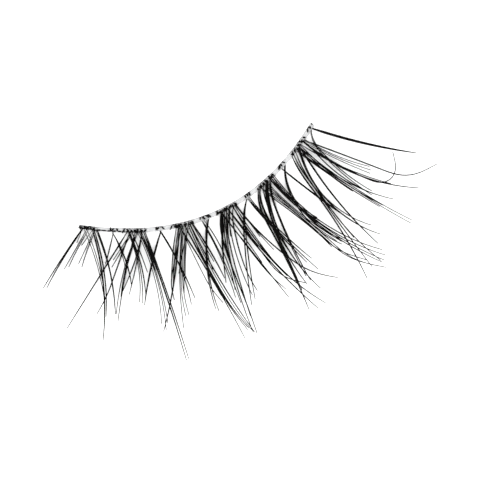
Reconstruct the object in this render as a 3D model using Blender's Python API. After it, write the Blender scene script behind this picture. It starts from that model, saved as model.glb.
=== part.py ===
"""False eyelash strip: a bowed clear band, with knots of lashes over it that spray out and curl up.

Metres, +Z up. The origin is the middle of the band's flat underside. +X runs to the outer corner of
the eye, +Y to the lid, so the lashes reach towards -Y and curl up off the surface that the strip lies on.
"""

from collections import namedtuple

import bmesh
import bpy
import numpy as np

MM = 0.001

# The band, as it lies
HALF_CHORD = 14.4 * MM
BAND_BOW = 4.86 * MM
BAND_SKEW = 0.05
BAND_WIDTH = 0.55 * MM
BAND_THICKNESS = 0.22 * MM
BAND_CHAMFER = 0.05 * MM

# The knots, which straddle the band and leave its underside bare for the glue
KNOT_CLEARANCE = 0.05 * MM
KNOT_WRAP = 0.03 * MM
LIP_WIDTH = 0.14 * MM
LIFT = 0.02 * MM

# The fan: how far out and how far down from the line through the band's ends its tips lie
FAN_SPREAD = 25.0 * MM
FAN_DEPTH = 19.0 * MM

# The locks
LOCK_CORE = 0.06 * MM
HAIR_STEP = 0.07 * MM
LOCK_HEIGHT = 0.15 * MM
TIP_WIDTH = 0.05 * MM
LAYER_GAP = 0.08 * MM
SETTLE = 0.85 * MM
BELLY = 3.0 * MM
CURL_RADIUS = 17.0 * MM
TAPER = 1.6

# How finely the solids are divided. ROOT_CROWDING over 1 sets a lock's rings closer at its root.
BAND_STATIONS = 33
KNOT_STATION = 0.45 * MM
LOCK_STATION = 1.9 * MM
LEAST_STATIONS = 4
ROOT_CROWDING = 1.15
LOCK_SIDES = 5
ROUTE_POINTS = 65

Knot = namedtuple("Knot", "start end")
Lock = namedtuple("Lock", "root across down turn hook hairs layer")

# Where each knot starts and ends, as shares of the half chord, inner corner to outer corner
KNOTS = {
    "cluster_1": Knot(-0.995, -0.895),
    "wisp_1": Knot(-0.785, -0.745),
    "cluster_2": Knot(-0.695, -0.53),
    "wisp_2": Knot(-0.45, -0.41),
    "cluster_3": Knot(-0.335, -0.165),
    "wisp_3": Knot(-0.10, -0.045),
    "cluster_4": Knot(0.03, 0.195),
    "wisp_4": Knot(0.29, 0.33),
    "cluster_5": Knot(0.40, 0.56),
    "wisp_5": Knot(0.625, 0.67),
    "cluster_6": Knot(0.75, 0.89),
    "wisp_6": Knot(0.955, 0.995),
}

# One row for each lock. root: share across its knot. across and down: its tip, as shares of the
# fan's spread and depth. turn and hook: degrees that it turns towards the inner corner, evenly and
# over its last half. hairs: how many it gathers. layer: 0 lowest to 3 highest, so that the arms of
# neighbours cross clear of each other.
LOCKS = {
    "cluster_1": (
        Lock(0.25, -0.83, 0.25, -9, 0, 2, 0),
        Lock(0.60, -0.71, 0.20, -5, 0, 2, 0),
        Lock(1.00, -0.64, 0.21, 0, 0, 2, 0),
        Lock(0.55, -0.58, 0.305, 5, 0, 1, 3),
        Lock(0.75, -0.68, 0.66, 23, 0, 2, 3),
        Lock(1.00, -0.58, 0.545, 20, 0, 2, 3),
    ),
    "wisp_1": (
        Lock(0.90, -0.545, 0.305, -12, 0, 1, 1),
        Lock(0.30, -0.465, 0.435, 21, 0, 1, 2),
    ),
    "cluster_2": (
        Lock(0.33, -0.80, 0.515, -7, 0, 1, 0),
        Lock(0.36, -0.66, 0.515, 5, 0, 2, 0),
        Lock(0.62, -0.575, 0.59, -21, 0, 2, 0),
        Lock(0.83, -0.505, 0.47, 13, 0, 2, 0),
        Lock(0.20, -0.455, 0.57, 32, 0, 2, 3),
        Lock(0.58, -0.41, 0.76, 20, 0, 2, 3),
        Lock(0.88, -0.37, 0.965, 0, 0, 3, 3),
    ),
    "wisp_2": (
        Lock(0.70, -0.445, 0.575, 0, 0, 1, 1),
        Lock(0.25, -0.25, 0.69, 9, 0, 1, 2),
        Lock(0.60, -0.23, 0.665, 5, 0, 1, 2),
    ),
    "cluster_3": (
        Lock(0.17, -0.295, 0.505, -9, 0, 1, 0),
        Lock(0.30, -0.41, 0.76, 12, 0, 2, 0),
        Lock(0.46, -0.33, 0.79, -20, 0, 2, 0),
        Lock(0.56, -0.30, 0.74, -12, -8, 3, 0),
        Lock(0.67, -0.225, 0.52, -9, 0, 1, 0),
        Lock(0.25, -0.125, 0.74, -7, -8, 1, 3),
        Lock(0.33, -0.095, 0.99, 6, 0, 2, 3),
        Lock(0.50, -0.06, 0.94, -6, -15, 3, 3),
        Lock(0.77, -0.045, 0.975, -9, 0, 2, 3),
        Lock(0.92, -0.07, 0.61, 9, 0, 1, 3),
    ),
    "wisp_3": (
        Lock(0.90, -0.16, 0.785, -18, 0, 2, 1),
        Lock(0.10, -0.05, 0.80, 13, 0, 2, 2),
    ),
    "cluster_4": (
        Lock(0.25, -0.065, 0.64, 0, 0, 2, 0),
        Lock(0.38, -0.05, 0.935, -19, 0, 1, 0),
        Lock(0.50, -0.03, 0.995, -26, 0, 3, 0),
        Lock(0.67, 0.015, 0.77, -30, 0, 2, 0),
        Lock(0.75, 0.045, 0.76, -34, -8, 1, 0),
        Lock(0.20, 0.155, 0.865, 4, 0, 2, 3),
        Lock(0.28, 0.12, 0.615, 9, 0, 1, 3),
        Lock(0.38, 0.26, 0.995, -9, 0, 2, 3),
        Lock(0.50, 0.30, 0.985, -18, -8, 3, 3),
        Lock(0.66, 0.395, 0.885, -15, -42, 1, 3),
        Lock(0.80, 0.185, 0.575, -3, 0, 1, 3),
    ),
    "wisp_4": (
        Lock(0.25, 0.01, 0.815, -17, 0, 2, 1),
        Lock(0.65, 0.33, 0.785, -7, 0, 1, 2),
    ),
    "cluster_5": (
        Lock(0.35, 0.225, 0.99, -22, 0, 3, 0),
        Lock(0.44, 0.26, 0.84, -34, 0, 2, 0),
        Lock(0.50, 0.31, 0.90, -50, 0, 2, 0),
        Lock(0.60, 0.275, 0.83, -12, 0, 2, 0),
        Lock(0.17, 0.425, 0.70, 8, 0, 1, 3),
        Lock(0.22, 0.545, 0.855, -8, -18, 1, 3),
        Lock(0.32, 0.605, 0.95, -19, -14, 3, 3),
        Lock(0.74, 0.62, 0.92, -24, 0, 2, 3),
        Lock(0.90, 0.635, 0.87, -38, 0, 2, 3),
    ),
    "wisp_5": (
        Lock(0.90, 0.48, 0.70, -60, 0, 2, 1),
        Lock(0.15, 0.56, 0.615, 0, 0, 2, 2),
    ),
    "cluster_6": (
        Lock(0.30, 0.56, 0.90, -10, 0, 2, 0),
        Lock(0.40, 0.52, 0.955, 8, 0, 1, 0),
        Lock(0.55, 0.605, 0.885, -29, 0, 1, 0),
        Lock(0.60, 0.64, 0.745, -57, -8, 2, 0),
        Lock(0.70, 0.625, 0.79, -16, 0, 1, 0),
        Lock(0.30, 0.705, 0.605, -3, 0, 2, 3),
        Lock(0.50, 0.795, 0.755, -9, 0, 2, 3),
        Lock(0.70, 0.765, 0.59, -25, 0, 2, 3),
        Lock(0.80, 0.885, 0.59, -37, 0, 2, 3),
        Lock(0.85, 0.855, 0.34, -20, -118, 1, 3),
        Lock(0.95, 0.72, 0.375, -13, 0, 1, 3),
        Lock(1.00, 1.00, 0.515, 0, -56, 1, 3),
    ),
    "wisp_6": (
        Lock(0.40, 0.69, 0.51, -52, 0, 1, 1),
        Lock(0.60, 0.945, 0.405, -12, 0, 2, 2),
    ),
}


def clear_scene():
    for old in list(bpy.data.objects):
        bpy.data.objects.remove(old)


def material(name, color, roughness, alpha=1.0):
    made = bpy.data.materials.new(name)
    made.use_nodes = True
    shader = made.node_tree.nodes["Principled BSDF"]
    shader.inputs["Base Color"].default_value = (*color, 1.0)
    shader.inputs["Roughness"].default_value = roughness
    shader.inputs["Metallic"].default_value = 0.0
    shader.inputs["Alpha"].default_value = alpha
    return made


def band_line(x):
    """Y of the band's middle line at x: a parabola with a slight skew, through the origin."""
    t = x / HALF_CHORD
    return BAND_BOW * (t**2 - BAND_SKEW * t * (1 - t**2))


def band_slope(x):
    t = x / HALF_CHORD
    return BAND_BOW / HALF_CHORD * (2 * t - BAND_SKEW * (1 - 3 * t**2))


def stacked_rings(name, rings, skin):
    """An object whose closed surface runs through the rings and ends in a flat cap at each end."""
    sides = rings.shape[1]
    shape = bmesh.new()
    points = [[shape.verts.new(point) for point in ring] for ring in rings]
    for lower, upper in zip(points, points[1:]):
        for i in range(sides):
            j = (i + 1) % sides
            shape.faces.new((lower[i], lower[j], upper[j], upper[i]))
    shape.faces.new(reversed(points[0]))
    shape.faces.new(points[-1])
    bmesh.ops.recalc_face_normals(shape, faces=shape.faces)
    mesh = bpy.data.meshes.new(name)
    shape.to_mesh(mesh)
    shape.free()
    mesh.materials.append(skin)
    return bpy.data.objects.new(name, mesh)


def along_band(name, profile, start, end, stations, skin):
    """The profile, as points across and above the band, carried along the band's middle line."""
    x = np.linspace(start, end, stations)
    slope = band_slope(x)
    stretch = np.sqrt(1 + slope**2)
    across, above = np.array(profile).T
    rings = np.empty((stations, len(profile), 3))
    rings[:, :, 0] = x[:, None] - np.outer(slope / stretch, across)
    rings[:, :, 1] = band_line(x)[:, None] + np.outer(1 / stretch, across)
    rings[:, :, 2] = above
    return stacked_rings(name, rings, skin)


def make_band(skin):
    half, top, cut = BAND_WIDTH / 2, BAND_THICKNESS, BAND_CHAMFER
    profile = [
        (-half, 0.0),
        (half, 0.0),
        (half, top - cut),
        (half - cut, top),
        (cut - half, top),
        (-half, top - cut),
    ]
    return along_band("band", profile, -HALF_CHORD, HALF_CHORD, BAND_STATIONS, skin)


def knot_edge():
    """How far a knot's outer faces stand from the band's middle line."""
    return BAND_WIDTH / 2 + KNOT_CLEARANCE + LIP_WIDTH


def plate_middle():
    """Height at which the locks start, in the middle of a knot's top."""
    return BAND_THICKNESS + KNOT_CLEARANCE + KNOT_WRAP + LOCK_HEIGHT / 2


def make_saddle(name, knot, skin):
    """A knot's body: an upside-down U over the band, clear of it and of what the strip lies on."""
    inner = BAND_WIDTH / 2 + KNOT_CLEARANCE
    outer = knot_edge()
    ceiling = BAND_THICKNESS + KNOT_CLEARANCE
    top = ceiling + 2 * KNOT_WRAP + LOCK_HEIGHT
    shoulder = (outer - inner) / 2
    profile = [
        (-outer, LIFT),
        (-inner, LIFT),
        (-inner, ceiling),
        (inner, ceiling),
        (inner, LIFT),
        (outer, LIFT),
        (outer, top - shoulder),
        (outer - shoulder, top),
        (shoulder - outer, top),
        (-outer, top - shoulder),
    ]
    start, end = knot.start * HALF_CHORD, knot.end * HALF_CHORD
    stations = 2 + int(round((end - start) / KNOT_STATION))
    return along_band(name, profile, start, end, stations, skin)


def lock_route(knot, lock):
    """Plan route from knot to tip, as complex numbers: an even turn, with a hook over its last half."""
    x = HALF_CHORD * (knot.start + (knot.end - knot.start) * lock.root)
    root = x + 1j * band_line(x)
    tip = FAN_SPREAD * lock.across + 1j * (BAND_BOW - FAN_DEPTH * lock.down)
    u = np.linspace(0, 1, ROUTE_POINTS)
    turned = np.radians(lock.turn) * u + np.radians(lock.hook) * np.clip(2 * u - 1, 0, 1) ** 2
    step = np.exp(-1j * turned)
    run = np.concatenate([[0], np.cumsum(step[1:] + step[:-1])])
    return root + (tip - root) * run / run[-1]


def height_over(route, layer):
    """Centre height of a lock: out of its knot, over to its layer, along the belly, then curling up."""
    x = np.linspace(-HALF_CHORD, HALF_CHORD, ROUTE_POINTS)
    middle = x + 1j * band_line(x)
    away = np.abs(route[:, None] - middle[None, :]).min(axis=1)
    settled = np.clip((away - knot_edge()) / SETTLE, 0, 1)
    settled = settled**2 * (3 - 2 * settled)
    layer_height = LIFT + LOCK_HEIGHT / 2 + layer * (LOCK_HEIGHT + LAYER_GAP)
    curl = np.clip(away - BELLY, 0, None) ** 2 / (2 * CURL_RADIUS)
    return plate_middle() + (layer_height - plate_middle()) * settled + curl


def make_lock(name, knot, lock, skin):
    """One lock: a flattened tube along its route that thins to its tip."""
    route = lock_route(knot, lock)
    length = np.abs(np.diff(route)).sum()
    stations = LEAST_STATIONS + int(round(length / LOCK_STATION))
    u = np.linspace(0, 1, stations) ** ROOT_CROWDING
    fine = np.linspace(0, 1, ROUTE_POINTS)
    height = height_over(route, lock.layer)
    centre = np.stack([np.interp(u, fine, row) for row in (route.real, route.imag, height)], axis=1)
    ahead = np.gradient(centre, axis=0)
    ahead /= np.linalg.norm(ahead, axis=1)[:, None]
    side = np.stack([-ahead[:, 1], ahead[:, 0], np.zeros(stations)], axis=1)
    side /= np.linalg.norm(side, axis=1)[:, None]
    up = np.cross(ahead, side)
    left = 1 - u**TAPER
    root_width = LOCK_CORE + HAIR_STEP * lock.hairs
    width = TIP_WIDTH + (root_width - TIP_WIDTH) * left
    depth = TIP_WIDTH + (LOCK_HEIGHT - TIP_WIDTH) * left
    angle = 2 * np.pi * np.arange(LOCK_SIDES) / LOCK_SIDES
    rings = (
        centre[:, None, :]
        + 0.5 * (width[:, None] * np.cos(angle))[:, :, None] * side[:, None, :]
        + 0.5 * (depth[:, None] * np.sin(angle))[:, :, None] * up[:, None, :]
    )
    return stacked_rings(name, rings, skin)


def fused(knot_object, locks):
    """Fuses the locks to their knot. The locks stay as hidden guides in a collection of their own."""
    name = knot_object.name
    sources = bpy.data.collections.new(name + "_locks")
    sources.hide_render = True
    bpy.context.scene.collection.children.link(sources)
    for lock in locks:
        lock.hide_render = True
        lock.display_type = "WIRE"
        sources.objects.link(lock)
    union = knot_object.modifiers.new("Locks", "BOOLEAN")
    union.operation = "UNION"
    union.solver = "EXACT"
    union.operand_type = "COLLECTION"
    union.collection = sources


def build():
    clear_scene()
    scene = bpy.context.scene.collection
    clear_band = material("clear_band", (0.80, 0.81, 0.82), 0.25, alpha=0.6)
    lash_fibre = material("lash_fibre", (0.012, 0.011, 0.011), 0.4)
    scene.objects.link(make_band(clear_band))
    for name, knot in KNOTS.items():
        saddle = make_saddle(name, knot, lash_fibre)
        scene.objects.link(saddle)
        rows = enumerate(LOCKS[name], start=1)
        fused(saddle, [make_lock(f"{name}_lock_{n}", knot, lock, lash_fibre) for n, lock in rows])


build()
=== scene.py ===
"""Looks of a false eyelash strip: tapered lashes knotted over a bowed clear band, on a pale floor."""

import bpy
import numpy as np
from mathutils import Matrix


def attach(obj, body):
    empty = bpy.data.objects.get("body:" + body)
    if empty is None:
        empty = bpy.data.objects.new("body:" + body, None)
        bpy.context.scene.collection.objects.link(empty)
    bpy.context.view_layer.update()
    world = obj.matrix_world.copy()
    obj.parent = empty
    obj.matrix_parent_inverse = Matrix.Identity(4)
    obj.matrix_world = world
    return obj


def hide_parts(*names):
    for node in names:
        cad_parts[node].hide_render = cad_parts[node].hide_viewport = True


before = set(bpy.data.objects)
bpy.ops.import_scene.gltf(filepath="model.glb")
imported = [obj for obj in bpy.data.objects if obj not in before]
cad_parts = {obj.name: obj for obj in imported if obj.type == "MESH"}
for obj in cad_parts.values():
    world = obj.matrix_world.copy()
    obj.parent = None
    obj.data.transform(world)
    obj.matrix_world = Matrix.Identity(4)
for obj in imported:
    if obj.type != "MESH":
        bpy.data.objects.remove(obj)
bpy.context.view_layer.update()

bl_info = {
    "name": "False Eyelash Strip",
    "version": (1, 0, 0),
    "blender": (4, 5, 0),
    "location": "View3D > Sidebar > Lashes",
    "description": "Lashes, knots and clear band of a false eyelash strip, with a pale studio stage",
    "category": "Add Mesh",
}

MM = 0.001
NEARLY_NOTHING = 1e-9

# The fan: half the line through the band's ends, how far the band bows and how much it leans to one
# side, and how far out and down the tips reach
HALF_CHORD = 14.4 * MM
BAND_BOW = 4.86 * MM
BAND_SKEW = 0.05
FAN_SPREAD = 25.0 * MM
FAN_DEPTH = 19.0 * MM

# Heights of the lashes: how far from the band's middle line a hair stays on its knot, how high it
# lies there, how far it takes to come down, where its layer lies over the floor, and where it starts
# to curl up. Distances from that line are measured to NEAREST_POINTS points on it, which reach a
# little past its ends, to NEAREST_SPAN half chords.
KNOT_REACH = 0.465 * MM
KNOT_MIDDLE = 0.375 * MM
SETTLE = 0.85 * MM
FLOOR_LAYER = 0.135 * MM
LAYER_STEP = 0.23 * MM
BELLY = 3.0 * MM
NEAREST_SPAN = 1.03
NEAREST_POINTS = 161

# Points along a hair and along the finer curve that it is read from, sides of its tube, how much
# closer its points lie towards the root, and the root's width as a share of the full one
HAIR_STATIONS = 34
ROUTE_POINTS = 97
HAIR_SIDES = 6
STATION_POWER = 1.1
ROOT_SHARE = 0.62

# Where a hair turns by its lead and by its hook, as shares of its length
LEAD_LENGTH = 1 / 3
HOOK_START = 0.6
HOOK_LENGTH = 0.35

# How the hairs of a row differ: the step between their roots and the range of each root along the
# band, as shares of the half chord, then the ranges of its place across the band, of the share of
# the pair gap that it takes, of its change in length and in height, and of its share of the width
HAIR_STEP = 0.009
ROOT_ALONG = (-0.002, 0.002)
ROOT_ACROSS = {"cluster": (-0.22 * MM, -0.04 * MM), "wisp": (-0.30 * MM, -0.24 * MM)}
HAIR_GAP = (0.8, 1.2)
HAIR_LONGER = (-1.6 * MM, 0.2 * MM)
HAIR_HEIGHT = (-0.03 * MM, 0.03 * MM)
HAIR_WIDTH = (0.92, 1.08)

# Wraps of a knot: ranges of each one's place and lean along the band, as shares of the half chord, of
# its ends across the band, and of its width, as a share of the hair width. Its crown lies a little
# lower than the hairs, and it drops by WRAP_DROP at WRAP_REACH from the band's middle line.
WRAP_SEED = 7
FEWEST_WRAPS = 3
WRAP_POINTS = 13
WRAP_ALONG = (-0.004, 0.004)
WRAP_LEAN = (-0.022, 0.022)
WRAP_LID_END = (0.02 * MM, 0.16 * MM)
WRAP_LASH_END = (-0.30 * MM, -0.16 * MM)
WISP_SHIFT = 0.12 * MM
WRAP_WIDTH = (1.2, 1.9)
WRAP_CROWN = KNOT_MIDDLE - 0.06 * MM
WRAP_DROP = 0.2 * MM
WRAP_REACH = 0.36 * MM
WRAP_POWER = 6
BLUNT_END = 0.04

# Loops of a knot: ranges of half the length of each, as a share of the half chord, of its place and
# lean across the band, and of its width, as a share of the hair width
LOOP_REACH = (0.002, 0.008)
LOOP_ACROSS = (0.10 * MM, 0.22 * MM)
LOOP_LEAN = (-0.05 * MM, 0.05 * MM)
LOOP_WIDTH = (0.6, 1.0)
OVER_BAND = 0.02 * MM

# The band: its points along and around, the power of sine and cosine that rounds its corners, its
# width at the inner corner as a share of the full one, how far along it widens, and the half width
# that its streaks are mapped to, in mm
BAND_STATIONS = 181
BAND_SIDES = 16
BAND_ROUNDING = 0.4
INNER_SHARE = 0.8
WIDENING = 0.5
BAND_MAP_HALF = 0.3

# The line along the band's lid side: its ends, as shares of the half chord, its place, its width, and
# what a knot adds to that, evenly and in beads. BEAD_RATE is in radians per mm, and BEAT_RATE, which
# makes some beads smaller by up to twice BEAD_UNEVEN, in radians per half chord.
EDGE_SPAN = (-0.995, 0.985)
EDGE_POINTS = 900
EDGE_INSET = 0.04 * MM
EDGE_HEIGHT = 0.21 * MM
EDGE_WIDTH = 0.035 * MM
KNOT_SWELL = 0.02 * MM
BEAD_WIDTH = 0.07 * MM
BEAD_FADE = 0.012
BEAD_RATE = 13
BEAD_UNEVEN = 0.4
BEAT_RATE = 61

# Finishes: gloss of the lashes and of the band's edge line, the line's greys at its two ends, how much
# the streaks and each hair's own shade move a colour towards its tip's, how much rougher and smoother
# the streaks make it, and how dark a streak in the clear nylon is, as a share of its colour
LASH_ROUGHNESS = 0.38
LASH_SPECULAR = 0.03
EDGE_GREYS = ((0.12, 0.12, 0.12), (0.3, 0.3, 0.3))
EDGE_ROUGHNESS = 0.4
EDGE_SPECULAR = 0.3
STREAK_SHARE = 0.12
SHADE_SHARE = 0.25
ROUGHER, SMOOTHER = 0.1, 0.06
NYLON_STREAK = 0.8

# The stage: half the floor's side, the soft lamp and the photo's view, whose middle is VIEW_MIDDLE
FLOOR_HALF = 1.5
SKY_STRENGTH = 1.8
LAMP_SIZE = 0.6
LAMP_POWER = 0.5
LAMP_PLACE = (-0.15, 0.25, 0.5)
LAMP_TURN = (-0.46, -0.27, 0)
VIEW_PIXELS = 480
PIXEL_SIZE = 0.1129 * MM
VIEW_MIDDLE = (1.611 * MM, -3.86 * MM)
STRIP_RISE, STRIP_RUN = 0.4032, 0.915
LENS, SENSOR = 1000.0, 36.0
CAMERA_CLIP = (0.1, 10.0)

# Where each knot starts and ends, as shares of the half chord, inner corner to outer corner
KNOTS = {
    "cluster_1": (-0.995, -0.895),
    "wisp_1": (-0.785, -0.745),
    "cluster_2": (-0.695, -0.53),
    "wisp_2": (-0.45, -0.41),
    "cluster_3": (-0.335, -0.165),
    "wisp_3": (-0.10, -0.045),
    "cluster_4": (0.03, 0.195),
    "wisp_4": (0.29, 0.33),
    "cluster_5": (0.40, 0.56),
    "wisp_5": (0.625, 0.67),
    "cluster_6": (0.75, 0.89),
    "wisp_6": (0.955, 0.995),
}

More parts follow.
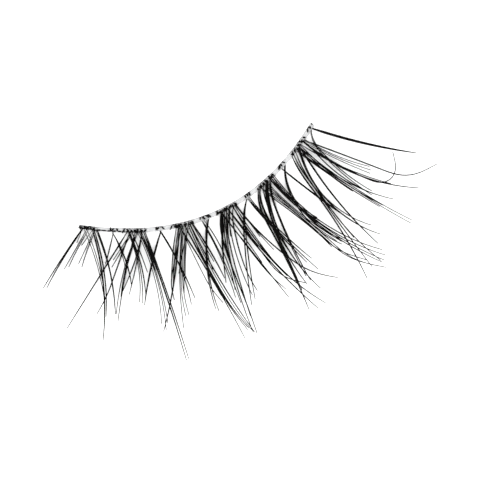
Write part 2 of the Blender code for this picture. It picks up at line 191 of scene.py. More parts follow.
# One row for each lash or close pair. root: share across its knot. across and down: its tip, as
# shares of the fan's spread and depth. lead, turn and hook: degrees that it turns towards the
# inner corner over its first third, evenly, and near its tip. hairs: how many lie side by
# side. weight: its thickness as a share of the full hair width. layer: 0 lowest to 3 highest.
LASH_COLUMNS = ("root", "across", "down", "lead", "turn", "hook", "hairs", "weight", "layer")
LASHES = {
    "cluster_1": (
        (0.20, -0.824, 0.250, 0, -7, 0, 2, 1.20, 0),
        (0.20, -0.606, 0.072, 0, 0, 0, 1, 0.80, 0),
        (0.55, -0.708, 0.199, 0, -3, 0, 2, 0.85, 0),
        (0.90, -0.588, 0.100, 0, 0, 0, 1, 0.70, 0),
        (1.00, -0.636, 0.190, 0, 0, 0, 1, 0.80, 0),
        (1.05, -0.630, 0.216, 0, -10, 0, 1, 0.90, 0),
        (0.30, -0.604, 0.447, 0, 17, 0, 1, 0.90, 3),
        (0.42, -0.596, 0.430, 0, 17, 0, 1, 0.80, 3),
        (0.86, -0.680, 0.663, 0, 23, 0, 1, 1.50, 3),
        (0.98, -0.624, 0.537, 0, 22, 0, 1, 1.40, 3),
        (1.10, -0.526, 0.270, 0, 8, 0, 1, 1.00, 3),
        (1.18, -0.582, 0.545, 0, 20, 0, 1, 1.60, 3),
    ),
    "wisp_1": (
        (0.50, -0.526, 0.252, 0, 4, 0, 1, 1.30, 1),
        (0.28, -0.466, 0.432, 0, 25, 0, 1, 1.35, 2),
        (0.34, -0.458, 0.310, 0, 18, 0, 1, 1.00, 2),
    ),
    "cluster_2": (
        (0.20, -0.797, 0.513, 0, 0, 0, 1, 1.25, 0),
        (0.28, -0.650, 0.505, 0, 0, 10, 1, 1.35, 0),
        (0.42, -0.504, 0.290, 0, 0, 0, 1, 0.80, 0),
        (0.38, -0.484, 0.254, 0, 0, 0, 1, 0.70, 0),
        (0.50, -0.580, 0.595, 0, -8, 0, 1, 1.15, 0),
        (0.62, -0.572, 0.550, 0, -19, 0, 1, 0.85, 0),
        (0.66, -0.522, 0.468, 0, -20, 0, 1, 0.80, 0),
        (0.60, -0.430, 0.300, 0, 0, 0, 1, 0.80, 0),
        (0.83, -0.516, 0.455, 0, 17, 0, 1, 1.00, 0),
        (0.83, -0.484, 0.475, 0, 5, 0, 1, 1.00, 0),
        (0.20, -0.458, 0.565, 0, 28, 0, 2, 0.90, 3),
        (0.24, -0.422, 0.512, 0, 22, 0, 1, 1.30, 3),
        (0.36, -0.376, 0.395, 0, 5, 0, 1, 1.00, 3),
        (0.66, -0.402, 0.755, 0, 21, 0, 3, 0.85, 3),
        (0.70, -0.342, 0.400, 0, 3, 0, 1, 0.90, 3),
        (0.78, -0.334, 0.420, 0, 3, 0, 1, 0.90, 3),
        (0.88, -0.373, 0.965, 0, 4, 0, 1, 1.45, 3),
        (0.94, -0.361, 0.960, 0, 3, 0, 1, 1.30, 3),
        (0.89, -0.350, 0.684, 0, 3, 0, 1, 1.10, 3),
    ),
    "wisp_2": (
        (0.72, -0.440, 0.570, 0, -11, 0, 1, 1.80, 1),
        (0.52, -0.228, 0.650, 0, 11, 0, 1, 1.30, 2),
        (0.62, -0.253, 0.675, 0, 23, 0, 1, 1.20, 2),
    ),
    "cluster_3": (
        (0.22, -0.286, 0.500, 0, -9, 0, 1, 1.00, 0),
        (0.28, -0.298, 0.560, 0, -8, 0, 1, 1.00, 0),
        (0.32, -0.410, 0.758, 0, 13, 0, 1, 1.35, 0),
        (0.42, -0.309, 0.612, 0, 0, -25, 1, 1.10, 0),
        (0.46, -0.322, 0.785, 0, -15, 0, 1, 0.85, 0),
        (0.54, -0.288, 0.735, -6, -10, -8, 2, 0.70, 0),
        (0.74, -0.226, 0.521, -8, -7, 0, 1, 0.90, 0),
        (0.66, -0.256, 0.595, -8, -4, 0, 1, 0.75, 0),
        (0.90, -0.240, 0.480, -20, -8, 0, 1, 0.80, 0),
        (0.38, -0.121, 0.740, 0, -5, -12, 1, 0.85, 3),
        (0.33, -0.095, 0.985, 0, 6, 0, 1, 1.10, 3),
        (0.30, -0.116, 0.700, 0, 6, 0, 1, 0.70, 3),
        (0.56, -0.068, 0.946, 0, -4, -8, 1, 1.10, 3),
        (0.60, -0.064, 0.930, 0, -5, -8, 1, 0.80, 3),
        (0.74, -0.060, 0.942, 0, -13, -6, 1, 1.20, 3),
        (0.79, -0.052, 0.955, 0, -12, -4, 1, 0.85, 3),
        (0.82, -0.044, 0.974, 0, -11, 0, 1, 1.20, 3),
        (0.90, -0.084, 0.495, 0, 0, 0, 1, 1.10, 3),
        (0.92, -0.070, 0.610, 0, 9, 0, 1, 1.60, 3),
    ),
    "wisp_3": (
        (0.94, -0.157, 0.784, 0, -28, 0, 2, 1.15, 1),
        (0.72, -0.098, 0.537, 0, -32, 0, 1, 0.80, 1),
        (0.06, -0.052, 0.780, 0, 13, 0, 2, 0.95, 2),
        (0.30, -0.046, 0.700, 0, 27, 0, 1, 1.05, 2),
    ),
    "cluster_4": (
        (0.24, -0.066, 0.640, 0, -8, 0, 1, 1.45, 0),
        (0.30, -0.038, 0.526, 0, -6, 0, 1, 1.00, 0),
        (0.30, -0.046, 0.974, -10, -14, 0, 1, 1.00, 0),
        (0.22, -0.033, 0.990, -26, -13, 8, 1, 1.35, 0),
        (0.52, -0.028, 0.879, -10, -19, 6, 1, 1.10, 0),
        (0.42, -0.018, 0.600, -6, -10, 0, 1, 0.85, 0),
        (0.66, 0.018, 0.770, -12, -22, 0, 1, 1.05, 0),
        (0.86, 0.046, 0.758, -18, -20, -6, 1, 1.15, 0),
        (0.38, -0.010, 0.480, 0, -10, 0, 1, 0.80, 0),
        (0.50, 0.006, 0.460, 0, -10, 0, 1, 0.80, 0),
        (0.60, 0.018, 0.440, -6, -10, 0, 1, 0.80, 0),
        (0.72, 0.038, 0.400, -8, -10, 0, 1, 0.80, 0),
        (0.18, 0.158, 0.868, 0, 0, 0, 1, 1.25, 3),
        (0.24, 0.160, 0.816, 0, -3, -10, 1, 1.10, 3),
        (0.40, 0.112, 0.616, 0, 0, 0, 1, 1.05, 3),
        (0.56, 0.258, 0.997, 0, -14, 0, 1, 1.40, 3),
        (0.58, 0.190, 0.750, 0, -8, 0, 1, 1.00, 3),
        (0.84, 0.298, 0.987, 0, -25, -4, 1, 1.35, 3),
        (0.82, 0.252, 0.830, 0, -13, -36, 1, 1.00, 3),
        (0.92, 0.164, 0.640, 0, -8, 0, 1, 0.95, 3),
        (0.98, 0.392, 0.880, 0, -28, -16, 1, 1.30, 3),
        (0.92, 0.182, 0.574, 0, -4, 0, 1, 0.90, 3),
        (0.99, 0.150, 0.470, 0, 0, 0, 1, 1.00, 3),
    ),
    "wisp_4": (
        (-0.15, 0.000, 0.821, -20, -8, 0, 1, 1.25, 1),
        (-0.05, 0.024, 0.800, -20, -8, 0, 1, 1.15, 1),
        (0.36, 0.328, 0.784, -8, -6, 0, 3, 1.15, 2),
    ),
    "cluster_5": (
        (0.05, 0.223, 0.985, -42, 10, 0, 1, 1.80, 0),
        (0.60, 0.226, 0.740, -14, -22, 0, 1, 1.15, 0),
        (0.13, 0.230, 0.860, -38, 6, 0, 1, 1.80, 0),
        (0.52, 0.228, 0.800, -18, -18, 0, 1, 0.90, 0),
        (0.36, 0.234, 0.520, -22, -8, 0, 1, 1.10, 0),
        (0.60, 0.309, 0.895, -14, -42, 0, 1, 1.25, 0),
        (0.55, 0.262, 0.842, -18, -30, 0, 1, 1.25, 0),
        (0.58, 0.246, 0.560, 0, -26, 0, 1, 1.00, 0),
        (0.76, 0.283, 0.828, -24, -12, 0, 1, 1.25, 0),
        (0.70, 0.272, 0.795, -22, -10, 0, 1, 1.00, 0),
        (0.52, 0.250, 0.621, -10, -38, 0, 1, 1.15, 0),
        (0.16, 0.424, 0.700, -6, 15, 0, 1, 0.90, 3),
        (0.14, 0.544, 0.855, -9, 15, -30, 1, 1.20, 3),
        (0.34, 0.604, 0.945, -6, 10, -34, 2, 0.90, 3),
        (0.50, 0.470, 0.700, 0, -16, 0, 2, 0.80, 3),
        (0.72, 0.446, 0.600, 0, -20, 0, 1, 1.00, 3),
        (0.78, 0.620, 0.921, 0, -27, 0, 2, 1.05, 3),
        (0.94, 0.636, 0.871, 0, -38, 0, 2, 0.95, 3),
        (0.78, 0.418, 0.505, 0, -24, 0, 1, 0.85, 3),
        (0.90, 0.430, 0.540, 0, -30, 0, 1, 0.80, 3),
    ),
    "wisp_5": (
        (0.88, 0.480, 0.700, -14, -60, 0, 2, 1.25, 1),
        (0.10, 0.560, 0.616, 0, -6, 0, 1, 1.80, 2),
    ),
    "cluster_6": (
        (0.28, 0.558, 0.900, -16, -6, 0, 1, 1.15, 0),
        (-0.05, 0.517, 0.953, -20, 17, 0, 1, 1.45, 0),
        (0.10, 0.536, 0.700, -16, -4, 0, 1, 1.30, 0),
        (0.42, 0.604, 0.887, 0, -30, 0, 1, 1.10, 0),
        (0.56, 0.642, 0.745, 0, -58, 0, 2, 0.85, 0),
        (0.57, 0.624, 0.790, 0, -17, 0, 1, 1.60, 0),
        (0.45, 0.628, 0.674, 0, -60, 0, 1, 0.90, 0),
        (0.32, 0.704, 0.605, 0, -8, 0, 2, 1.10, 3),
        (0.50, 0.796, 0.753, 0, -12, 0, 2, 0.90, 3),
        (0.56, 0.612, 0.448, 0, -14, 0, 1, 1.00, 3),
        (0.64, 0.764, 0.589, 0, -36, 0, 1, 1.15, 3),
        (0.84, 0.843, 0.336, 0, -24, -118, 1, 1.20, 3),
        (0.66, 0.780, 0.500, 0, -18, 0, 1, 0.95, 3),
        (0.84, 0.886, 0.590, 0, -38, 0, 1, 1.40, 3),
        (0.90, 0.692, 0.510, 14, -34, 0, 1, 1.15, 3),
        (0.92, 0.722, 0.378, 0, -14, 0, 3, 0.70, 3),
        (0.91, 1.004, 0.507, 0, 2, -50, 1, 1.40, 3),
    ),
    "wisp_6": (
        (0.15, 0.692, 0.510, -38, -22, 0, 2, 0.95, 1),
        (0.40, 0.940, 0.398, 0, -10, 0, 1, 2.40, 2),
    ),
}

# Black threads in the band near the inner corner: start and end as shares of the half chord, how
# far across the band, as a share of its half width, and thickness as a share of the hair width.
THREADS = (
    (-1.003, -0.890, -0.42, 1.40),
    (-0.998, -0.872, 0.35, 0.35),
    (-0.880, -0.852, -0.44, 1.50),
    (-0.850, -0.812, -0.42, 1.20),
    (-0.808, -0.785, -0.45, 1.40),
    (-0.776, -0.746, -0.42, 1.50),
    (-0.734, -0.708, -0.42, 1.40),
    (-0.700, -0.560, -0.55, 0.80),
)
THREAD_SEED = 3
THREAD_POINTS = 15

# A thread's wave, as a share of the band's half width, its number of half waves, and the width of its
# ends as a share of the full one
THREAD_WAVE = (-0.03, 0.03)
THREAD_BENDS = 3
THREAD_END_SHARE = 0.6


class StripSizes(bpy.types.PropertyGroup):
    """Sizes of the strip's fine pieces."""

    hair_width: bpy.props.FloatProperty(
        name="Hair width", description="Width of a full hair where it is thickest",
        default=0.142 * MM, unit="LENGTH", precision=6,
    )
    tip_width: bpy.props.FloatProperty(
        name="Tip width", description="Width of a hair at its tip",
        default=0.105 * MM, unit="LENGTH", precision=6,
    )
    pair_gap: bpy.props.FloatProperty(
        name="Pair gap", description="How far apart the tips of neighbouring hairs in a pair end",
        default=0.34 * MM, unit="LENGTH", precision=6,
    )
    fine_end: bpy.props.FloatProperty(
        name="Fine end", description="How far a hair runs on past its row's tip",
        default=0.35 * MM, unit="LENGTH", precision=6,
    )
    curl_radius: bpy.props.FloatProperty(
        name="Curl radius", description="Radius of the curl that lifts the tips",
        default=17.8 * MM, unit="LENGTH", precision=5,
    )
    taper: bpy.props.FloatProperty(
        name="Taper", description="How late a hair thins: higher keeps its width for longer",
        default=3.8, min=0.5, max=6.0,
    )
    band_width: bpy.props.FloatProperty(
        name="Band width", description="Width of the clear band",
        default=0.55 * MM, unit="LENGTH", precision=6,
    )
    band_thickness: bpy.props.FloatProperty(
        name="Band thickness", description="Thickness of the clear band",
        default=0.22 * MM, unit="LENGTH", precision=6,
    )
    root_length: bpy.props.FloatProperty(
        name="Root length", description="Length over which a hair swells from its finer root",
        default=1.5 * MM, unit="LENGTH", precision=5,
    )
    wrap_gap: bpy.props.FloatProperty(
        name="Wrap gap", description="Distance between the wraps of a knot",
        default=0.17 * MM, unit="LENGTH", precision=6,
    )


class StripColours(bpy.types.PropertyGroup):
    """Colours of the strip and its stage."""

    fibre: bpy.props.FloatVectorProperty(
        name="Lash fibre", description="Colour of the lashes", subtype="COLOR", size=3,
        default=(0.0008, 0.0007, 0.0007), min=0.0, max=1.0,
    )
    fibre_tip: bpy.props.FloatVectorProperty(
        name="Fibre tip", description="Colour that a lash thins out to", subtype="COLOR", size=3,
        default=(0.005, 0.0045, 0.004), min=0.0, max=1.0,
    )
    nylon: bpy.props.FloatVectorProperty(
        name="Clear band", description="Colour of the clear nylon", subtype="COLOR", size=3,
        default=(0.66, 0.665, 0.67), min=0.0, max=1.0,
    )
    floor: bpy.props.FloatVectorProperty(
        name="Floor", description="Colour of the floor", subtype="COLOR", size=3,
        default=(0.95, 0.95, 0.95), min=0.0, max=1.0,
    )


def sizes():
    return bpy.context.scene.strip_sizes


def colours():
    return bpy.context.scene.strip_colours


def kind(node):
    """A node's kind, cluster or wisp."""
    return node.split("_")[0]


def smooth(share):
    """Eases from 0 to 1 with level ends: the share squared, times three less twice the share."""
    share = np.clip(share, 0, 1)
    return share**2 * (3 - 2 * share)


def band_point(share, across=0.0):
    """Plan points on the band, as complex numbers. With t the share of the half chord, x is
    HALF_CHORD t and y is BAND_BOW t squared, less a slight skew. The distance across is measured
    square to that line, and is positive towards the lid."""
    t, across = np.broadcast_arrays(np.asarray(share, float), across)
    bow = BAND_BOW * (t**2 - BAND_SKEW * t * (1 - t**2))
    slope = BAND_BOW / HALF_CHORD * (2 * t - BAND_SKEW * (1 - 3 * t**2))
    outward = (-slope + 1j) / np.abs(1 + 1j * slope)
    return HALF_CHORD * t + 1j * bow + across * outward


def lash_routes(start, tip, rows):
    """Plan routes, one row each: the heading turns by lead over the first third, evenly by turn and by
    hook near the tip; its running sum gives the curve, which is scaled and turned to end on the tip."""
    u = np.linspace(0, 1, ROUTE_POINTS)
    eases = {
        "lead": 1 - np.clip(1 - u / LEAD_LENGTH, 0, 1) ** 2,
        "turn": u,
        "hook": smooth((u - HOOK_START) / HOOK_LENGTH),
    }
    heading = sum(np.outer(np.radians(rows[key]), ease) for key, ease in eases.items())
    step = np.exp(-1j * heading)
    steps = np.concatenate([np.zeros((len(tip), 1)), step[:, 1:] + step[:, :-1]], axis=1)
    run = np.cumsum(steps, axis=1)
    return start[:, None] + (tip - start)[:, None] * run / run[:, -1:]


def lash_heights(routes, layer):
    """Height over the floor: on its knot's top, then eased down to its layer, then along the floor,
    then up on a curl that grows with the square of the distance from the band."""
    middle = band_point(np.linspace(-NEAREST_SPAN, NEAREST_SPAN, NEAREST_POINTS))
    away = np.abs(routes[..., None] - middle).min(axis=-1)
    settled = smooth((away - KNOT_REACH) / SETTLE)
    low = FLOOR_LAYER + layer[:, None] * LAYER_STEP
    curl = np.clip(away - BELLY, 0, None) ** 2 / (2 * sizes().curl_radius)
    return KNOT_MIDDLE + (low - KNOT_MIDDLE) * settled + curl


def resampled(curves, shares):
    """The curves at the given shares of their points, by straight interpolation, as whole arrays."""
    place = np.clip(shares, 0, 1) * (curves.shape[1] - 1)
    lower = np.minimum(place.astype(int), curves.shape[1] - 2)
    part = (place - lower)[None, :, None]
    return curves[:, lower] * (1 - part) + curves[:, lower + 1] * part


def skin(name, rings):
    """Mesh of closed tubes from points counted by tube, ring and place in the ring. Each two places
    of two neighbouring rings have a four-sided face, and each end a flat one, all facing outwards
    where a ring runs from a tube's left side over its top."""
    count, stations, sides = rings.shape[:3]
    tube, station, turn = np.indices((count, stations - 1, sides))

    def corner(ring_step, turn_step):
        return (tube * stations + station + ring_step) * sides + (turn + turn_step) % sides

    quads = np.stack([corner(0, 1), corner(1, 1), corner(1, 0), corner(0, 0)], axis=-1).reshape(-1, 4)
    first = np.arange(count)[:, None] * stations * sides + np.arange(sides)
    last = first + (stations - 1) * sides
    mesh = bpy.data.meshes.new(name)
    faces = quads.tolist() + first[:, ::-1].tolist() + last.tolist()
    mesh.from_pydata(rings.reshape(-1, 3).tolist(), [], faces)
    mesh.shade_smooth()
    return mesh


def corner_vertices(mesh):
    """The vertex at each corner of each face."""
    vertex = np.empty(len(mesh.loops), np.int32)
    mesh.loops.foreach_get("vertex_index", vertex)
    return vertex


def store(mesh, name, values):
    attribute = mesh.attributes.new(name, "FLOAT", "POINT")
    attribute.data.foreach_set("value", np.asarray(values, np.float32))


def store_map(mesh, lengthwise, across):
    """The map that the streaks follow: mm along the fibre and a place across it, for each corner."""
    uv = np.stack([lengthwise, across], axis=1)
    mesh.uv_layers.new(name="fibre").data.foreach_set("uv", uv.reshape(-1).astype(np.float32))


def tubes(name, centres, widths, shades):
    """Closed round tubes: at each point of a centre line a ring stands square to it, its first
    axis level. Point k of a ring is centre + radius cos(angle) side + radius sin(angle) up."""
    count, stations = centres.shape[:2]
    ahead = np.gradient(centres, axis=1)
    ahead /= np.linalg.norm(ahead, axis=2, keepdims=True)
    side = np.stack([-ahead[..., 1], ahead[..., 0], np.zeros((count, stations))], axis=2)
    side /= np.maximum(np.linalg.norm(side, axis=2, keepdims=True), NEARLY_NOTHING)
    up = np.cross(ahead, side)
    angle = 2 * np.pi * (np.arange(HAIR_SIDES) + 0.5) / HAIR_SIDES
    ring = np.cos(angle)[:, None] * side[:, :, None] + np.sin(angle)[:, None] * up[:, :, None]
    mesh = skin(name, centres[:, :, None] + widths[..., None, None] / 2 * ring)
    steps = np.linalg.norm(np.diff(centres, axis=1, prepend=centres[:, :1]), axis=2)
    length = np.cumsum(steps, axis=1)
    store(mesh, "along", np.repeat((length / length[:, -1:]).reshape(-1), HAIR_SIDES))
    store(mesh, "shade", np.repeat(shades, stations * HAIR_SIDES))
    turn = np.indices((count, stations - 1, HAIR_SIDES))[2]
    around = np.stack([turn + 1, turn + 1, turn, turn], axis=-1).reshape(-1) / HAIR_SIDES
    over_ends = np.zeros(2 * count * HAIR_SIDES)
    lengthwise = np.repeat(length.reshape(-1), HAIR_SIDES)[corner_vertices(mesh)] / MM
    store_map(mesh, lengthwise, np.concatenate([around, over_ends]))
    mesh.validate()
    mesh.update()
    return mesh


def place(name, mesh, material, slot, node=None):
    """Puts a finished piece on the strip's one body, with its finish, and hides the solid that it stands
    for, if one is given.
    """
    piece = bpy.data.objects.new(name, mesh)
    bpy.context.scene.collection.objects.link(piece)
    mesh.materials.append(material)
    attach(piece, "root")
    if node:
        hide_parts(node)
    return piece


def lash_mesh(node):
    """All lashes of one knot: each row repeated for its hairs, which leave it as one and part near the
    tip, because each turns a little less or more. The width swells from a finer root, then falls by
    the share of the length to the power of taper."""
    rng = np.random.default_rng(sum(map(ord, node)))
    rows = dict(zip(LASH_COLUMNS, np.array(LASHES[node], float).T))
    hairs = rows["hairs"].astype(int)
    rows = {key: np.repeat(values, hairs) for key, values in rows.items()}
    order = np.concatenate([np.arange(n) - (n - 1) / 2 for n in hairs])
    total = len(order)
    begin, end = KNOTS[node]
    share = begin + (end - begin) * rows["root"] + order * HAIR_STEP + rng.uniform(*ROOT_ALONG, total)
    start = band_point(share, rng.uniform(*ROOT_ACROSS[kind(node)], total))
    tip = FAN_SPREAD * rows["across"] + 1j * (BAND_BOW - FAN_DEPTH * rows["down"])
    reach = np.abs(tip - start)
    ahead = (tip - start) / reach
    gap = order * sizes().pair_gap * rng.uniform(*HAIR_GAP, total)
    longer = sizes().fine_end + np.abs(order) * rng.uniform(*HAIR_LONGER, total)
    rows["turn"] = rows["turn"] - np.degrees(2 * gap / reach)
    routes = lash_routes(start, tip + 1j * ahead * gap + ahead * longer, rows)
    heights = lash_heights(routes, rows["layer"]) + rng.uniform(*HAIR_HEIGHT, (total, 1))
    shares = np.linspace(0, 1, HAIR_STATIONS) ** STATION_POWER
    centres = resampled(np.stack([routes.real, routes.imag, heights], axis=2), shares)
    full_width = sizes().hair_width * rows["weight"] * rng.uniform(*HAIR_WIDTH, total)
    thinned = np.outer(full_width - sizes().tip_width, 1 - shares ** sizes().taper)
    grown = smooth(np.outer(reach, shares) / sizes().root_length)
    widths = (sizes().tip_width + thinned) * (ROOT_SHARE + (1 - ROOT_SHARE) * grown)
    return tubes(f"{node}_lashes", centres, widths, rng.uniform(0, 1, total))


def wrap_mesh(node):
    """Wraps and loops of one knot, all short tubes. A wrap arches over the band from its lid side to
    its lash side: its height falls with an even power of the distance across. A loop lies along the
    band's lid side. Each swells by the root of a sine from half its width at its ends."""
    rng = np.random.default_rng(sum(map(ord, node)) + WRAP_SEED)
    begin, end = KNOTS[node]
    wraps = max(FEWEST_WRAPS, int(round((end - begin) * HALF_CHORD / sizes().wrap_gap)))
    loops = wraps // 2 + 1
    s = np.linspace(0, 1, WRAP_POINTS)
    share = np.linspace(begin, end, wraps) + rng.uniform(*WRAP_ALONG, wraps)
    share = share[:, None] + np.outer(rng.uniform(*WRAP_LEAN, wraps), s)
    shift = WISP_SHIFT if kind(node) == "wisp" else 0.0
    lid_end = rng.uniform(*WRAP_LID_END, (wraps, 1)) + shift
    lash_end = rng.uniform(*WRAP_LASH_END, (wraps, 1)) + shift
    across = lid_end + (lash_end - lid_end) * s
    height = WRAP_CROWN - WRAP_DROP * np.clip(np.abs(across) / WRAP_REACH, 0, 1) ** WRAP_POWER
    middle = rng.uniform(begin, end, (loops, 1))
    along = middle + rng.uniform(*LOOP_REACH, (loops, 1)) * (2 * s - 1)
    aside = rng.uniform(*LOOP_ACROSS, (loops, 1)) + rng.uniform(*LOOP_LEAN, (loops, 1)) * s
    plan = band_point(np.concatenate([share, along]), np.concatenate([across, aside]))
    heights = np.concatenate([height, np.full(along.shape, sizes().band_thickness + OVER_BAND)])
    centres = np.stack([plan.real, plan.imag, heights], axis=2)
    full = np.concatenate([rng.uniform(*WRAP_WIDTH, wraps), rng.uniform(*LOOP_WIDTH, loops)])
    swell = 0.5 + 0.5 * np.sin(np.pi * np.clip(s, BLUNT_END, 1 - BLUNT_END)) ** 0.5
    widths = sizes().hair_width * np.outer(full, swell)
    return tubes(f"{node}_wraps", centres, widths, rng.uniform(0, 1, wraps + loops))


def fibre_grain():
    """Node group: streaks along a fibre, from its own map. Gives a mask and a height for a Bump node.
    Noise is read from the map, drawn out along the fibre, and its middle is stretched for the mask."""
    group = bpy.data.node_groups.new("Fibre Grain", "ShaderNodeTree")
    face = group.interface
    scale = face.new_socket(name="Streaks", in_out="INPUT", socket_type="NodeSocketFloat")
    scale.default_value = 9.0
    face.new_socket(name="Mask", in_out="OUTPUT", socket_type="NodeSocketFloat")
    face.new_socket(name="Height", in_out="OUTPUT", socket_type="NodeSocketFloat")
    nodes, link = group.nodes, group.links.new
    entry, leave = nodes.new("NodeGroupInput"), nodes.new("NodeGroupOutput")
    uv = nodes.new("ShaderNodeUVMap")
    uv.uv_map = "fibre"
    stretch = nodes.new("ShaderNodeMapping")
    stretch.inputs["Scale"].default_value = (0.6, 1.0, 1.0)
    noise = nodes.new("ShaderNodeTexNoise")
    noise.inputs["Detail"].default_value = 3.0
    contrast = nodes.new("ShaderNodeMapRange")
    contrast.inputs["From Min"].default_value = 0.3
    contrast.inputs["From Max"].default_value = 0.7
    link(uv.outputs["UV"], stretch.inputs["Vector"])
    link(stretch.outputs["Vector"], noise.inputs["Vector"])
    link(entry.outputs["Streaks"], noise.inputs["Scale"])
    link(noise.outputs["Fac"], contrast.inputs["Value"])
    link(contrast.outputs["Result"], leave.inputs["Mask"])
    link(noise.outputs["Fac"], leave.inputs["Height"])
    return group


def grain_group():
    return bpy.data.node_groups.get("Fibre Grain") or fibre_grain()


def new_material(name):
    material = bpy.data.materials.new(name)
    material.use_nodes = True
    tree = material.node_tree
    return material, tree.nodes, tree.links.new, tree.nodes["Principled BSDF"]


def fibre_material(name, root, tip, roughness, specular):
    """Satin synthetic fibre: each hair a little lighter or darker, streaked along, paler at its tip."""
    if name in bpy.data.materials:
        return bpy.data.materials[name]
    material, nodes, link, shader = new_material(name)
    along, shade = nodes.new("ShaderNodeAttribute"), nodes.new("ShaderNodeAttribute")
    along.attribute_name, shade.attribute_name = "along", "shade"
    fade = nodes.new("ShaderNodeMapRange")
    fade.inputs["From Min"].default_value = 0.55
    fade.inputs["To Max"].default_value = 0.8
    grain = nodes.new("ShaderNodeGroup")
    grain.node_tree = grain_group()
    tint = nodes.new("ShaderNodeMapRange")
    tint.inputs["To Max"].default_value = SHADE_SHARE
    both = nodes.new("ShaderNodeMath")
    both.operation = "ADD"
    streaked = nodes.new("ShaderNodeMath")
    streaked.operation = "MULTIPLY_ADD"
    streaked.inputs[1].default_value = STREAK_SHARE
    colour = nodes.new("ShaderNodeMix")
    colour.data_type = "RGBA"
    colour.inputs["A"].default_value = (*root, 1)
    colour.inputs["B"].default_value = (*tip, 1)
    rough = nodes.new("ShaderNodeMapRange")
    rough.inputs["To Min"].default_value = roughness - SMOOTHER
    rough.inputs["To Max"].default_value = roughness + ROUGHER
    bump = nodes.new("ShaderNodeBump")
    bump.inputs["Strength"].default_value = 0.25
    bump.inputs["Distance"].default_value = 0.01 * MM
    link(along.outputs["Fac"], fade.inputs["Value"])
    link(shade.outputs["Fac"], tint.inputs["Value"])
    link(fade.outputs["Result"], both.inputs[0])
    link(tint.outputs["Result"], both.inputs[1])
    link(grain.outputs["Mask"], streaked.inputs[0])
    link(both.outputs["Value"], streaked.inputs[2])
    link(streaked.outputs["Value"], colour.inputs["Factor"])
    link(colour.outputs["Result"], shader.inputs["Base Color"])
    link(grain.outputs["Mask"], rough.inputs["Value"])
    link(rough.outputs["Result"], shader.inputs["Roughness"])
    link(grain.outputs["Height"], bump.inputs["Height"])
    link(bump.outputs["Normal"], shader.inputs["Normal"])
    shader.inputs["Specular IOR Level"].default_value = specular
    return material


def lash_material():
    return fibre_material(
        "lash_fibre_satin", colours().fibre, colours().fibre_tip, LASH_ROUGHNESS, LASH_SPECULAR
    )


def edge_material():
    return fibre_material("band_edge_grey", *EDGE_GREYS, EDGE_ROUGHNESS, EDGE_SPECULAR)


def nylon_material():
    """Clear nylon: pale, part see-through, with faint drawn streaks along it and a soft gloss."""
    material, nodes, link, shader = new_material("band_nylon_clear")
    grain = nodes.new("ShaderNodeGroup")
    grain.node_tree = grain_group()
    grain.inputs["Streaks"].default_value = 5.0
    colour = nodes.new("ShaderNodeMix")
    colour.data_type = "RGBA"
    pale = colours().nylon
    colour.inputs["A"].default_value = (*[NYLON_STREAK * value for value in pale], 1)
    colour.inputs["B"].default_value = (*pale, 1)
    rough = nodes.new("ShaderNodeMapRange")
    rough.inputs["To Min"].default_value = 0.18
    rough.inputs["To Max"].default_value = 0.34
    link(grain.outputs["Mask"], colour.inputs["Factor"])
    link(colour.outputs["Result"], shader.inputs["Base Color"])
    link(grain.outputs["Mask"], rough.inputs["Value"])
    link(rough.outputs["Result"], shader.inputs["Roughness"])
    shader.inputs["Alpha"].default_value = 0.55
    return material


def band_width_at(share):
    """Width of the band: eases from INNER_SHARE of the full width at the inner corner to all of it."""
    return sizes().band_width * (INNER_SHARE + (1 - INNER_SHARE) * smooth((share + 1) / WIDENING))


def band_mesh():
    """The band: a rounded bar carried along its middle line. Its outline is a superellipse, whose
    power of 5 leaves it all but flat above and below."""
    share = np.linspace(-1.0, 1.0, BAND_STATIONS)
    angle = 2 * np.pi * (np.arange(BAND_SIDES) + 0.5) / BAND_SIDES
    wave = np.stack([np.cos(angle), np.sin(angle)])
    level, upright = np.sign(wave) * np.abs(wave) ** BAND_ROUNDING
    plan = band_point(share[:, None], band_width_at(share)[:, None] / 2 * level)
    height = np.broadcast_to(sizes().band_thickness * (0.5 + 0.5 * upright), plan.shape)
    mesh = skin("band_strip", np.stack([plan.real, plan.imag, height], axis=2)[None])
    station, turn = np.divmod(corner_vertices(mesh), BAND_SIDES)
    store_map(mesh, share[station] * HALF_CHORD / MM, level[turn] * BAND_MAP_HALF)
    return mesh


def thread_mesh():
    """Threads laid in the band near the inner corner: level tubes at a set distance across it, each
    a little wavy by a sine and swelling by a sine in its middle."""
    rows = np.array(THREADS)
    s = np.linspace(0, 1, THREAD_POINTS)
    rng = np.random.default_rng(THREAD_SEED)
    share = rows[:, :1] + np.outer(rows[:, 1] - rows[:, 0], s)
    wave = rng.uniform(*THREAD_WAVE, (len(rows), 1)) * np.sin(THREAD_BENDS * np.pi * s)
    plan = band_point(share, (rows[:, 2:3] + wave) * sizes().band_width / 2)
    height = np.full(plan.shape, sizes().band_thickness + OVER_BAND)
    centres = np.stack([plan.real, plan.imag, height], axis=2)
    swell = THREAD_END_SHARE + (1 - THREAD_END_SHARE) * np.sin(np.pi * s)
    widths = sizes().hair_width * np.outer(rows[:, 3], swell)
    return tubes("inner_threads", centres, widths, rng.uniform(0, 1, len(rows)))


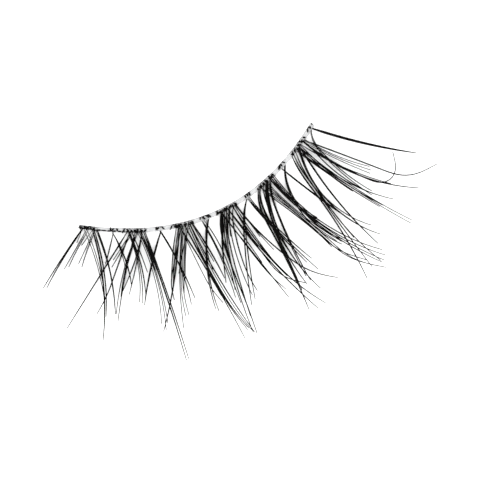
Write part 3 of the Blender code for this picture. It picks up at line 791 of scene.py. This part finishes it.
def edge_mesh():
    """The thin dark thread on the band's lid side: one level tube along its whole edge. It swells
    into a row of beads, the square of a sine, next to each knot."""
    share = np.linspace(*EDGE_SPAN, EDGE_POINTS)[None]
    plan = band_point(share, band_width_at(share) / 2 - EDGE_INSET)
    centres = np.stack([plan.real, plan.imag, np.full(plan.shape, EDGE_HEIGHT)], axis=2)
    ends = np.array(list(KNOTS.values()))
    beyond = np.abs(share[..., None] - ends.mean(axis=1)) - np.ptp(ends, axis=1) / 2
    near = np.clip(1 - beyond.min(axis=-1) / BEAD_FADE, 0, 1)
    beat = 1 - BEAD_UNEVEN + BEAD_UNEVEN * np.sin(share * BEAT_RATE)
    bead = np.sin(share * HALF_CHORD / MM * BEAD_RATE) ** 2 * beat
    widths = EDGE_WIDTH + near * (KNOT_SWELL + BEAD_WIDTH * bead)
    return tubes("edge_line", centres, widths, np.array([0.5]))


class LASHSTRIP_OT_band(bpy.types.Operator):
    """Make the clear band, its edge line and the threads laid in it"""

    bl_idname = "lashstrip.band"
    bl_label = "Clear Band"

    def execute(self, context):
        place("band_strip", band_mesh(), nylon_material(), "clear_band", "band")
        place("inner_threads", thread_mesh(), lash_material(), "lash_fibre")
        place("edge_line", edge_mesh(), edge_material(), "clear_band")
        return {"FINISHED"}


class LASHSTRIP_OT_knots(bpy.types.Operator):
    """Make the wraps that tie each bunch of lashes to the band"""

    bl_idname = "lashstrip.knots"
    bl_label = "Knots"

    def execute(self, context):
        for node in KNOTS:
            place(f"{node}_wraps", wrap_mesh(node), lash_material(), "lash_fibre")
        return {"FINISHED"}


class LASHSTRIP_OT_lashes(bpy.types.Operator):
    """Make the tapered lashes of every cluster and wisp"""

    bl_idname = "lashstrip.lashes"
    bl_label = "Lashes"

    def execute(self, context):
        for node in KNOTS:
            place(f"{node}_lashes", lash_mesh(node), lash_material(), "lash_fibre", node)
        return {"FINISHED"}


class LASHSTRIP_OT_stage(bpy.types.Operator):
    """Make the pale floor, the soft light and the camera that looks straight down"""

    bl_idname = "lashstrip.stage"
    bl_label = "Stage"

    def execute(self, context):
        make_floor()
        make_light()
        make_camera()
        return {"FINISHED"}


def make_floor():
    """The pale floor: one large square at the height that the strip lies on."""
    corners = [(x * FLOOR_HALF, y * FLOOR_HALF, 0) for x, y in ((-1, -1), (1, -1), (1, 1), (-1, 1))]
    mesh = bpy.data.meshes.new("floor")
    mesh.from_pydata(corners, [], [(0, 1, 2, 3)])
    floor = bpy.data.objects.new("floor", mesh)
    bpy.context.scene.collection.objects.link(floor)
    material, _, _, shader = new_material("floor_white")
    shader.inputs["Base Color"].default_value = (*colours().floor, 1)
    shader.inputs["Roughness"].default_value = 0.9
    shader.inputs["Specular IOR Level"].default_value = 0.0
    mesh.materials.append(material)


def make_light():
    """A white sky all round and one soft round lamp over the lid side."""
    world = bpy.data.worlds.new("studio")
    world.use_nodes = True
    background = world.node_tree.nodes["Background"]
    background.inputs["Color"].default_value = (1, 1, 1, 1)
    background.inputs["Strength"].default_value = SKY_STRENGTH
    bpy.context.scene.world = world
    lamp = bpy.data.lights.new("softbox", "AREA")
    lamp.shape = "DISK"
    lamp.size = LAMP_SIZE
    lamp.energy = LAMP_POWER
    box = bpy.data.objects.new("softbox", lamp)
    box.location = LAMP_PLACE
    box.rotation_euler = LAMP_TURN
    bpy.context.scene.collection.objects.link(box)
    bpy.context.scene.view_settings.view_transform = "Standard"


def make_camera():
    """A very long lens straight above VIEW_MIDDLE, turned so that the strip slants up to the right. It
    stands where its frame is VIEW_PIXELS wide at PIXEL_SIZE each."""
    data = bpy.data.cameras.new("camera")
    data.lens = LENS
    data.sensor_width = SENSOR
    data.clip_start, data.clip_end = CAMERA_CLIP
    camera = bpy.data.objects.new("camera", data)
    camera.location = (*VIEW_MIDDLE, VIEW_PIXELS * PIXEL_SIZE * LENS / SENSOR)
    camera.rotation_euler = (0, 0, -np.arctan2(STRIP_RISE, STRIP_RUN))
    bpy.context.scene.collection.objects.link(camera)
    bpy.context.scene.camera = camera


class LASHSTRIP_PT_panel(bpy.types.Panel):
    """Sidebar panel with the strip's pieces, sizes and colours"""

    bl_idname = "LASHSTRIP_PT_panel"
    bl_label = "False Eyelash Strip"
    bl_space_type = "VIEW_3D"
    bl_region_type = "UI"
    bl_category = "Lashes"

    def draw(self, context):
        column = self.layout.column(align=True)
        for operator in (LASHSTRIP_OT_band, LASHSTRIP_OT_knots, LASHSTRIP_OT_lashes, LASHSTRIP_OT_stage):
            column.operator(operator.bl_idname)
        for group in (context.scene.strip_sizes, context.scene.strip_colours):
            box = self.layout.box()
            for name in group.__annotations__:
                box.prop(group, name)


CLASSES = (
    StripSizes,
    StripColours,
    LASHSTRIP_OT_band,
    LASHSTRIP_OT_knots,
    LASHSTRIP_OT_lashes,
    LASHSTRIP_OT_stage,
    LASHSTRIP_PT_panel,
)


def register():
    for made_class in CLASSES:
        bpy.utils.register_class(made_class)
    bpy.types.Scene.strip_sizes = bpy.props.PointerProperty(type=StripSizes)
    bpy.types.Scene.strip_colours = bpy.props.PointerProperty(type=StripColours)


def unregister():
    del bpy.types.Scene.strip_colours
    del bpy.types.Scene.strip_sizes
    for made_class in reversed(CLASSES):
        bpy.utils.unregister_class(made_class)


def main():
    register()
    bpy.ops.lashstrip.band()
    bpy.ops.lashstrip.knots()
    bpy.ops.lashstrip.lashes()
    bpy.ops.lashstrip.stage()


if __name__ == "__main__":
    main()
